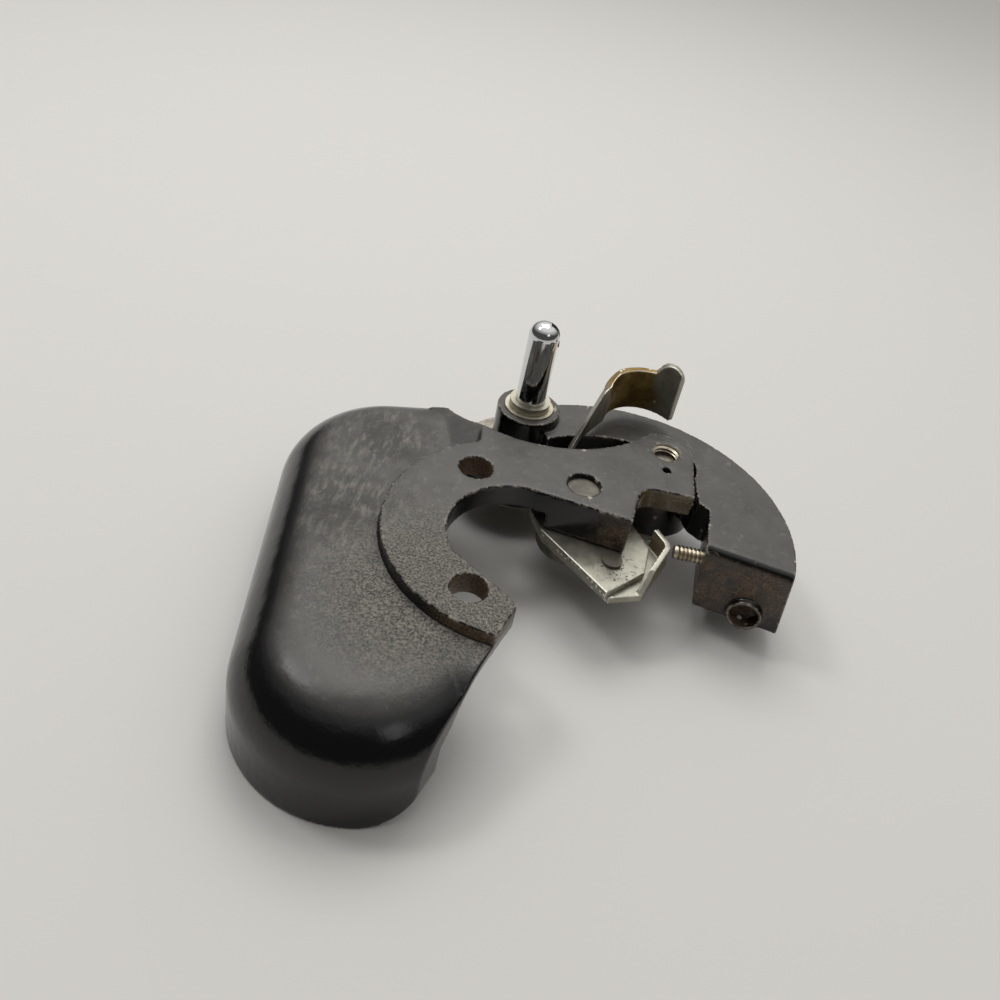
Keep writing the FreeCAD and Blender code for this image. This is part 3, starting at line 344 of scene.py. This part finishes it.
def tarnished_nickel():
    """Dull nickel on pressed sheet: pale and cloudy where it is whole, worn to an olive gold on the
    finger's hollow face and darkened there with painted shade, tan on the flange, and freckled with
    rust round the rivet."""
    made, tree, shader, place = material("tarnished_nickel_on_sheet_steel")
    mark = marked(tree, place, LATCH_MARKS)
    geometry = node(tree, "NewGeometry")
    cloud = node(
        tree, "TexNoise", Vector=place, Scale=1 / CLOUD, Detail=4.0, Roughness=0.6, Distortion=0.3
    )
    freckle = node(tree, "TexNoise", Vector=place, Scale=1 / FRECKLE, Detail=3.0, Roughness=0.6)
    rolled = node(tree, "VectorMath", place, (0.3, 2.5, 2.5), operation="MULTIPLY")
    rolled = node(tree, "TexNoise", Vector=rolled, Scale=1.0, Detail=3.0, Roughness=0.6)
    share = node(tree, "MapRange", cloud, 0.35, 0.65)
    pale = node(tree, "Mix", share, "#8e8b7f", "#a8a598", data_type="RGBA")
    # painted shade: the hollow face's olive gold is darker than the whole nickel, so it shades the
    # hollow as well as tinting it
    share = node(tree, "MapRange", cloud, 0.4, 0.62)
    gold_and_shade = node(tree, "Mix", share, "#9a8046", "#6d5630", data_type="RGBA")
    past_lobe = node(tree, "Math", 1.0, mark["lobe"], operation="SUBTRACT")
    gold_and_shade_mask = node(tree, "Math", mark["gold_and_shade_head"], past_lobe, operation="MULTIPLY")
    colour = node(tree, "Mix", gold_and_shade_mask, pale, gold_and_shade, data_type="RGBA")
    facing = node(tree, "SeparateXYZ", geometry.outputs["Normal"]).outputs["Z"]
    upright = node(tree, "MapRange", facing, 0.7, 0.3)
    share = node(tree, "Math", mark["flange"], upright, operation="MULTIPLY")
    colour = node(tree, "Mix", share, colour, "#a3937a", data_type="RGBA")
    # painted highlight: the sheet's edges are coloured near white for the light they catch
    painted_edge_highlight = node(tree, "MapRange", geometry.outputs["Pointiness"], 0.52, 0.56)
    colour = node(tree, "Mix", painted_edge_highlight, colour, "#e6e4da", data_type="RGBA")
    rust = node(tree, "MapRange", freckle, 0.56, 0.62)
    rust = node(tree, "Math", mark["rivet"], rust, operation="MULTIPLY")
    specks = node(tree, "MapRange", freckle, 0.72, 0.75, 0.0, 0.7)
    rust = node(tree, "Math", rust, specks, operation="MAXIMUM")
    colour = node(tree, "Mix", rust, colour, "#3a281c", data_type="RGBA")
    metal = node(tree, "MapRange", rust, 0.0, 1.0, 0.78, 0.15)
    rough = node(tree, "MapRange", cloud, 0.3, 0.7, 0.32, 0.46)
    rough = node(tree, "Math", rust, 0.35, rough, operation="MULTIPLY_ADD")
    skin = node(tree, "Math", rolled, 0.4, freckle, operation="MULTIPLY_ADD")
    relief = node(tree, "Bump", Height=skin, Distance=NICKEL_RELIEF * MM, Strength=0.5)
    finish_with(tree, shader, Base_Color=colour, Metallic=metal, Roughness=rough, Normal=relief)
    return made


# Sizes of the turned metals' patterns in millimetres
OIL_DRIFT = 2.0
PINHOLE = 0.6
PIT_RELIEF = 0.03


def turned_metal(name, colour, filmed, rust, shine, roughness, spots):
    """Turned metal with a brown oil film in drifts and rust in pinholes."""
    made, tree, shader, place = material(name)
    drift = node(
        tree, "TexNoise", Vector=place, Scale=1 / OIL_DRIFT, Detail=4.0, Roughness=0.6,
        Distortion=0.4,
    )
    pits = node(tree, "TexNoise", Vector=place, Scale=1 / PINHOLE, Detail=4.0, Roughness=0.7)
    share = node(tree, "MapRange", drift, 0.4, 0.65)
    base = node(tree, "Mix", share, colour, filmed, data_type="RGBA")
    rusty = node(tree, "MapRange", pits, spots, spots + 0.06)
    tone = node(tree, "Mix", rusty, base, rust, data_type="RGBA")
    metal = node(tree, "MapRange", rusty, 0.0, 1.0, shine, 0.2)
    rough = node(tree, "MapRange", drift, 0.3, 0.7, roughness, roughness + 0.12)
    rough = node(tree, "Math", rusty, 0.4, rough, operation="MULTIPLY_ADD")
    relief = node(tree, "Bump", Height=pits, Distance=PIT_RELIEF * MM, Strength=0.5)
    finish_with(tree, shader, Base_Color=tone, Metallic=metal, Roughness=rough, Normal=relief)
    return made


# The rubber's patches of dust and its relief, in millimetres
DUST = 1.5
DUST_RELIEF = 0.05


def moulded_rubber():
    """Black moulded rubber, dusty and slightly rough."""
    made, tree, shader, place = material("moulded_rubber")
    dust = node(tree, "TexNoise", Vector=place, Scale=1 / DUST, Detail=5.0, Roughness=0.6)
    share = node(tree, "MapRange", dust, 0.4, 0.7)
    colour = node(tree, "Mix", share, "#121212", "#2b2a28", data_type="RGBA")
    relief = node(tree, "Bump", Height=dust, Distance=DUST_RELIEF * MM, Strength=0.5)
    finish_with(tree, shader, Base_Color=colour, Roughness=0.75, Normal=relief)
    return made


# The cast and pressed pieces: sharp edges are softened as casting and tumbling leave them. They are
# turned askew while that is done, so that no long edge runs along the voxels and comes out in steps.
ASKEW = Matrix.Rotation(math.radians(37.0), 4, Vector((1.0, 2.0, 0.7)))
CAD_MERGE = 0.002


def softened(name, body, finish, voxel, passes, keep=1.0):
    """A copy of a CAD node with its sharp edges melted round. The voxel is in millimetres."""
    mesh = NODES[name].data.copy()
    piece = bpy.data.objects.new(name + "_skin", mesh)
    bpy.context.scene.collection.objects.link(piece)
    shape = bmesh.new()
    shape.from_mesh(mesh)
    bmesh.ops.remove_doubles(shape, verts=shape.verts, dist=CAD_MERGE * MM)
    shape.to_mesh(mesh)
    shape.free()
    deselect()
    bpy.context.view_layer.objects.active = piece
    piece.select_set(True)
    mesh.materials.clear()
    mesh.transform(ASKEW)
    remesh = piece.modifiers.new("skin", "REMESH")
    remesh.mode = "VOXEL"
    remesh.voxel_size = voxel * MM
    remesh.use_smooth_shade = True
    bpy.ops.object.modifier_apply(modifier=remesh.name)
    melt = piece.modifiers.new("melt", "SMOOTH")
    melt.factor = 0.5
    melt.iterations = passes
    bpy.ops.object.modifier_apply(modifier=melt.name)
    if keep < 1.0:
        fewer = piece.modifiers.new("fewer", "DECIMATE")
        fewer.ratio = keep
        bpy.ops.object.modifier_apply(modifier=fewer.name)
    piece.data.transform(ASKEW.inverted())
    piece.data.materials.append(finish)
    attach(piece, body)
    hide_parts(name)


# Threads, in millimetres: how many steps a turn has, how far the ridge's foot is sunk in the wall,
# how far along the pitch the foot lies from the crest, and how near points are made one
THREAD_STEPS = 40
THREAD_SINK = 0.05
THREAD_FLANK = 0.42
THREAD_MERGE = 0.001
SMOOTH_ANGLE = 35


def thread(name, root, crest, pitch, turns):
    """A helical ridge about Z, from the origin upwards, in millimetres."""
    deselect()
    bpy.ops.mesh.primitive_circle_add(vertices=3, radius=pitch / 2 * MM, fill_type="NGON")
    ridge = bpy.context.object
    ridge.name = name
    bpy.ops.object.mode_set(mode="EDIT")
    bpy.ops.mesh.select_all(action="SELECT")
    bpy.ops.mesh.delete(type="ONLY_FACE")
    bpy.ops.object.mode_set(mode="OBJECT")
    outwards = 1 if crest > root else -1
    foot = root - THREAD_SINK * outwards
    corners = [(foot, THREAD_FLANK), (crest, 0.0), (foot, -THREAD_FLANK)]
    for vertex, (radius, rise) in zip(ridge.data.vertices, corners):
        vertex.co = mm(radius, 0.0, rise * pitch)
    turning = ridge.modifiers.new("turning", "SCREW")
    turning.screw_offset = pitch * MM
    turning.iterations = turns
    turning.steps = THREAD_STEPS
    turning.render_steps = THREAD_STEPS
    turning.use_normal_calculate = True
    bpy.ops.object.modifier_apply(modifier=turning.name)
    return ridge


def settle(piece, turn, place):
    """Turn and place a new piece, and leave its object at the origin with its place in its mesh."""
    piece.data.transform(Matrix.Translation(place) @ turn)
    bpy.ops.object.mode_set(mode="EDIT")
    bpy.ops.mesh.select_all(action="SELECT")
    bpy.ops.mesh.remove_doubles(threshold=THREAD_MERGE * MM)
    bpy.ops.mesh.fill_holes(sides=8)
    bpy.ops.mesh.normals_make_consistent(inside=False)
    bpy.ops.object.mode_set(mode="OBJECT")
    bpy.ops.object.shade_smooth_by_angle(angle=math.radians(SMOOTH_ANGLE))


# Where the tapped hole's thread begins, and the stop screw's core, its rounded ends and how far in
# its thread begins, in millimetres
TAPPED_FROM = -1.75
SCREW_CORE = 1.2
SCREW_END_ROUND = 0.35
SCREW_LEAD = 0.6


def tapped_thread(finish):
    """The thread that shows in the tapped hole above the end of the pivot screw."""
    ridge = thread("tapped_thread", root=2.74, crest=2.32, pitch=0.7, turns=2)
    settle(ridge, Matrix.Identity(4), mm(*TAPPED_HOLE, TAPPED_FROM))
    ridge.data.materials.append(finish)
    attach(ridge, "guard")


def threaded_stop_screw(finish):
    """The stop screw with its thread, turned to lie along X."""
    low, high = [Vector(corner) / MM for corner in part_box("stop_screw")]
    centre = (low + high) / 2
    length = high.x - low.x
    ridge = thread("stop_screw_threaded", root=1.18, crest=1.5, pitch=0.75, turns=9)
    deselect()
    bpy.ops.mesh.primitive_cylinder_add(
        vertices=THREAD_STEPS, radius=SCREW_CORE * MM, depth=length * MM,
        location=mm(0, 0, length / 2),
    )
    core = bpy.context.object
    bpy.ops.object.transform_apply(location=True, rotation=True, scale=True)
    bpy.ops.object.mode_set(mode="EDIT")
    bpy.ops.mesh.select_all(action="SELECT")
    bpy.ops.mesh.bevel(offset=SCREW_END_ROUND * MM, segments=3)
    bpy.ops.object.mode_set(mode="OBJECT")
    deselect()
    ridge.data.transform(Matrix.Translation(mm(0, 0, SCREW_LEAD)))
    core.select_set(True)
    ridge.select_set(True)
    bpy.context.view_layer.objects.active = ridge
    bpy.ops.object.join()
    turn = Matrix.Rotation(math.radians(90), 4, "Y")
    settle(ridge, turn, mm(low.x, centre.y, centre.z))
    ridge.data.materials.append(finish)
    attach(ridge, "frame")
    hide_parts("stop_screw")


def dress(finish, *names):
    """Give carried-over CAD nodes a finish."""
    for name in names:
        mesh = NODES[name].data
        mesh.materials.clear()
        mesh.materials.append(finish)


def floor():
    """The wide floor on which the guard lies."""
    deselect()
    bpy.ops.mesh.primitive_plane_add(size=FLOOR_SIZE * MM, location=(0, 0, FLOOR_LEVEL * MM))
    plane = bpy.context.object
    plane.name = "floor"
    plane.data.materials.append(floor_cloth())


# The way in which the room is brightest, and how bright it is at its darkest and its brightest
ROOM_BRIGHT_WAY = (0.05, 0.42, 1.0)
ROOM_DARKEST = 0.07
ROOM_BRIGHTEST = 0.85


def room():
    """A pale studio: bright above and behind the object, dark low down in front of it."""
    world = bpy.data.worlds.new("room")
    bpy.context.scene.world = world
    world.use_nodes = True
    tree = world.node_tree
    way = node(tree, "TexCoord").outputs["Generated"]
    leaning = node(tree, "VectorMath", way, ROOM_BRIGHT_WAY, operation="DOT_PRODUCT")
    bright = node(tree, "MapRange", leaning, 0.35, 0.85, ROOM_DARKEST, ROOM_BRIGHTEST)
    finish_with(tree, tree.nodes["Background"], Color="#fffefb", Strength=bright)


camera()
room()
lamp("overhead", at=(-0.03, 0.3, 0.52), size=0.34, power=1.5)
lamp("left", at=(-0.36, 0.1, 0.56), size=0.14, power=0.8)
lamp("side", at=(0.33, -0.38, 0.42), size=0.2, power=0.12)
bpy.context.scene.view_settings.view_transform = "Standard"
floor()

enamel = stove_enamel()
softened("guard_bracket", "guard", enamel, voxel=0.3, passes=7, keep=0.3)
softened("winder_frame", "frame", enamel, voxel=0.25, passes=6, keep=0.5)
nickel = tarnished_nickel()
for lever in ("finger_lever", "cam_lever"):
    softened(lever, "latch", nickel, voxel=0.18, passes=3)
chrome = chromium_plate()
steel = turned_metal(
    "oiled_turned_steel", "#a39d92", "#7d7468", "#3f2a1c", shine=1.0, roughness=0.3, spots=0.6
)
cut_steel = turned_metal(
    "bright_cut_thread", "#cfc8b8", "#a3937a", "#5a4330", shine=1.0, roughness=0.25, spots=0.62
)
browned = turned_metal(
    "browned_pin_steel", "#6b665c", "#57534b", "#33261d", shine=0.6, roughness=0.42, spots=0.62
)
bronze = turned_metal(
    "sintered_bronze", "#c9c3b2", "#a89e88", "#4a3a2c", shine=0.8, roughness=0.35, spots=0.7
)
tapped_thread(cut_steel)
threaded_stop_screw(cut_steel)
dress(chrome, "bobbin_spindle")
dress(browned, "latch_pin", "lever_rivet")
dress(
    steel, "bobbin_retainer", "latch_washer", "pivot_screw", "pivot_washer", "return_spring",
    "thrust_washer", "pulley_washer", "pulley_screw", "ring_pulley",
)
dress(bronze, "upper_bushing", "lower_bushing", "frame_bushing")
dress(moulded_rubber(), "rubber_ring")
